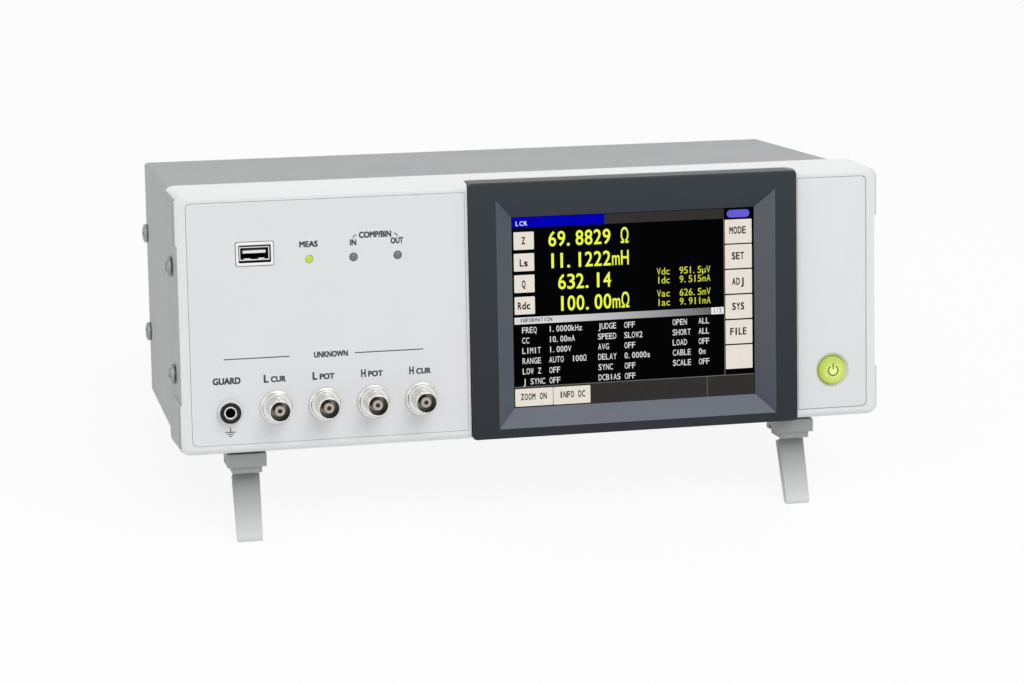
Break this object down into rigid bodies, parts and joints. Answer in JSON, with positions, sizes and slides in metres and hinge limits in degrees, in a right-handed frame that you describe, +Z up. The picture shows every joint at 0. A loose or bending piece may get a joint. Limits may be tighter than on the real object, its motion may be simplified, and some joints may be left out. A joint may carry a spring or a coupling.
{
  "type": "bench lcr meter",
  "caption": "Boxy bench meter with a tinted touch display, coaxial jacks on the front, a folded metal cover and flip-out legs that tilt it back for reading component values.",
  "frame": {"origin": "middle of the bounding box, on the ground the leg soles stand on", "axes": "+X to the right seen from the front, +Y into the depth away from the display, +Z up; the body leans back on its legs"},
  "size_m": [0.332, 0.1804, 0.1547],
  "materials": {
    "front_resin": "fine-textured moulded resin, pale grey, slight satin sheen",
    "panel_film": "smooth light grey printed film",
    "bezel_resin": "dark slate-blue satin resin with sloping window sides",
    "screen_glass": "dark touch glass over a lit colour display",
    "plain_steel": "plated steel, soft shine",
    "cover_paint": "mid grey baked paint, very fine grain",
    "board_laminate": "green glass-fibre board",
    "white_resin": "off-white insulating resin",
    "nickel": "bright nickel plate",
    "black_resin": "black moulded resin",
    "lime_resin": "lime translucent resin",
    "grey_lens": "dark grey lens, unlit",
    "leg_resin": "mid grey satin resin",
    "supply_alloy": "plain aluminium box",
    "foot_rubber": "dark soft rubber"
  },
  "bodies": {
    "chassis": {"front_frame": "front_resin", "left_panel": "panel_film", "right_panel": "panel_film", "display_bezel": "bezel_resin", "touch_panel": "screen_glass", "lcd_bracket": "plain_steel", "chassis_tray": "plain_steel", "analog_shield": "plain_steel", "leg_pin_left": "plain_steel", "leg_pin_right": "plain_steel", "blank_screw_left": "plain_steel", "blank_screw_right": "plain_steel", "cover_screw_left_front_lower": "plain_steel", "cover_screw_left_front_upper": "plain_steel", "cover_screw_left_rear_lower": "plain_steel", "cover_screw_left_rear_upper": "plain_steel", "cover_screw_right_front_lower": "plain_steel", "cover_screw_right_front_upper": "plain_steel", "cover_screw_right_rear_lower": "plain_steel", "cover_screw_right_rear_upper": "plain_steel", "top_cover": "cover_paint", "rear_panel": "cover_paint", "blank_plate": "cover_paint", "display_board": "board_laminate", "jack_board": "board_laminate", "button_board": "board_laminate", "main_board": "board_laminate", "usb_insert": "white_resin", "usb_tongue": "white_resin", "jack_core_l_cur": "white_resin", "jack_core_l_pot": "white_resin", "jack_core_h_pot": "white_resin", "jack_core_h_cur": "white_resin", "usb_shell": "nickel", "jack_shell_l_cur": "nickel", "jack_shell_l_pot": "nickel", "jack_shell_h_pot": "nickel", "jack_shell_h_cur": "nickel", "guard_sleeve": "nickel", "io_connector": "nickel", "device_port": "nickel", "power_supply": "supply_alloy", "lcd_module": "black_resin", "guard_socket": "black_resin", "button_switch": "black_resin", "mains_inlet": "black_resin", "mains_switch": "black_resin", "led_meas": "lime_resin", "led_in": "grey_lens", "led_out": "grey_lens", "leg_pad_left": "leg_resin", "leg_pad_right": "leg_resin", "rear_foot_left": "foot_rubber", "rear_foot_right": "foot_rubber"},
    "leg_left": {"leg_left": "leg_resin"},
    "leg_right": {"leg_right": "leg_resin"},
    "power_button": {"power_button": "lime_resin"},
    "mains_rocker": {"mains_rocker": "black_resin"}
  },
  "joints": [
    {"name": "leg_fold_left", "type": "hinge", "parent": "chassis", "child": "leg_left", "pos_m": [-0.13375, -0.06838, 0.03101], "axis": [1, 0, 0], "range_deg": [0, 111]},
    {"name": "leg_fold_right", "type": "hinge", "parent": "chassis", "child": "leg_right", "pos_m": [0.12435, -0.06838, 0.03101], "axis": [1, 0, 0], "range_deg": [0, 111]},
    {"name": "power_press", "type": "slide", "parent": "chassis", "child": "power_button", "axis": [0, 0.9762, -0.2169], "range_m": [0, 0.0015], "stiffness_N_per_m": 300},
    {"name": "mains_rock", "type": "hinge", "parent": "chassis", "child": "mains_rocker", "pos_m": [0.07825, 0.06396, 0.04155], "axis": [1, 0, 0], "range_deg": [0, 20]}
  ]
}
